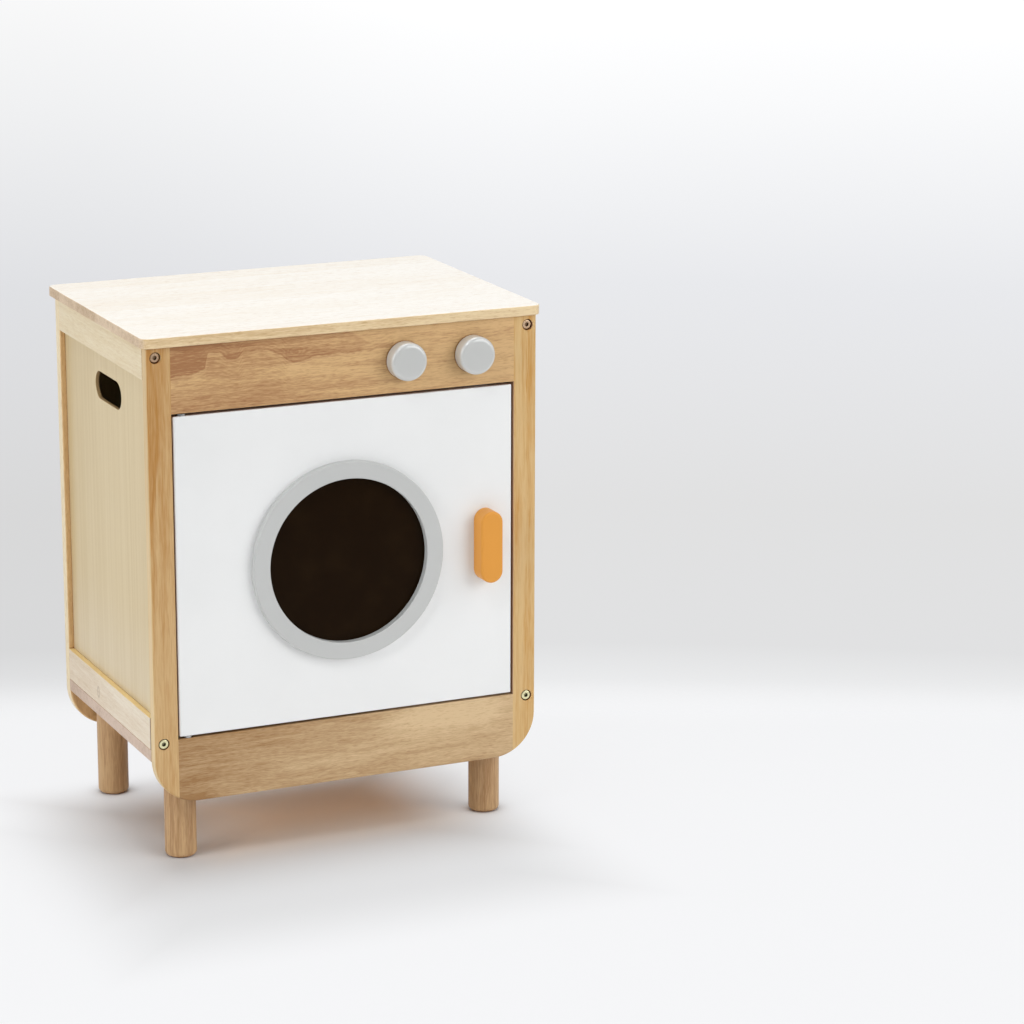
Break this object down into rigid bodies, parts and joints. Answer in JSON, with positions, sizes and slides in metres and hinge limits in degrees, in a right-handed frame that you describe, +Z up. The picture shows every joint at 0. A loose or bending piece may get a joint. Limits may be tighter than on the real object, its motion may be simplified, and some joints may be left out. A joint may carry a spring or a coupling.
{
  "type": "toy washing machine",
  "caption": "Wooden play washing machine: cabinet on round legs, hinged white door with a round smoked window, orange grip, turning knobs, hand-hold slots.",
  "frame": {"origin": "on the floor, under the middle of the outline's bounding box", "axes": "+Z up, -Y the front with the door and knobs, +X the viewer's right when facing the front"},
  "size_m": [0.409, 0.305, 0.5245],
  "materials": {
    "worktop_wood": "clear satin lacquer on pale plantation hardwood, glued planks",
    "stile_wood": "clear satin lacquer, grain along the stile",
    "panel_wood": "clear satin lacquer, figured grain across the front",
    "rail_wood": "clear satin lacquer, grain across the front",
    "side_wood": "clear satin lacquer, pale grain from front to back",
    "plywood": "clear satin lacquer on pale birch-like plywood, upright grain",
    "board_wood": "clear satin lacquer",
    "leg_wood": "clear satin lacquer, grain along the leg",
    "dowel_wood": "plain sanded wood",
    "white_paint": "white semi-gloss paint on fibreboard",
    "grey_paint": "light grey satin paint on wood",
    "orange_paint": "warm orange satin paint on wood",
    "smoked_acrylic": "polished smoked-brown acrylic sheet",
    "bronzed_steel": "bronzed steel with a hexagon socket",
    "yellow_zinc": "yellow zinc-plated steel",
    "zinc_steel": "bright zinc-plated steel",
    "magnet_nickel": "nickel-plated magnet",
    "felt": "grey felt washer"
  },
  "bodies": {
    "cabinet": {"worktop": "worktop_wood", "worktop_dowels": "dowel_wood", "front_left_stile": "stile_wood", "front_right_stile": "stile_wood", "front_bottom_rail": "rail_wood", "control_panel": "panel_wood", "front_frame_dowels": "dowel_wood", "rear_left_stile": "stile_wood", "rear_right_stile": "stile_wood", "rear_bottom_rail": "rail_wood", "rear_top_rail": "rail_wood", "rear_frame_dowels": "dowel_wood", "back_panel": "plywood", "back_panel_screws": "zinc_steel", "left_side_top_rail": "side_wood", "left_side_bottom_rail": "side_wood", "left_side_panel": "plywood", "right_side_top_rail": "side_wood", "right_side_bottom_rail": "side_wood", "right_side_panel": "plywood", "base_board": "board_wood", "base_board_screws": "yellow_zinc", "upper_front_joint_bolts": "bronzed_steel", "lower_front_joint_bolts": "yellow_zinc", "rear_joint_bolts": "yellow_zinc", "barrel_nuts": "zinc_steel", "front_left_leg": "leg_wood", "front_right_leg": "leg_wood", "rear_left_leg": "leg_wood", "rear_right_leg": "leg_wood", "leg_hanger_bolts": "zinc_steel", "leg_tee_nuts": "zinc_steel", "hinge_pins": "zinc_steel", "lower_hinge_washer": "zinc_steel", "door_stop_block": "dowel_wood", "stop_block_screws": "yellow_zinc", "catch_magnet": "magnet_nickel", "knob_felt_washers": "felt", "knob_back_washers": "zinc_steel"},
    "door": {"door_panel": "white_paint", "window_pane": "smoked_acrylic", "window_ring": "grey_paint", "window_ring_screws": "yellow_zinc", "door_handle": "orange_paint", "door_handle_screws": "zinc_steel", "strike_disc": "zinc_steel", "upper_hinge_washer": "zinc_steel"},
    "left_knob_body": {"left_knob": "grey_paint", "left_knob_screw": "zinc_steel"},
    "right_knob_body": {"right_knob": "grey_paint", "right_knob_screw": "zinc_steel"}
  },
  "joints": [
    {"name": "door_hinge", "type": "hinge", "parent": "cabinet", "child": "door", "pos_m": [-0.165, -0.12765, 0.29025], "axis": [0, 0, -1], "range_deg": [0, 115]},
    {"name": "left_knob_turn", "type": "hinge", "parent": "cabinet", "child": "left_knob_body", "pos_m": [0.06, -0.1335, 0.48185], "axis": [0, -1, 0], "continuous": true},
    {"name": "right_knob_turn", "type": "hinge", "parent": "cabinet", "child": "right_knob_body", "pos_m": [0.1315, -0.1335, 0.48185], "axis": [0, -1, 0], "continuous": true}
  ]
}
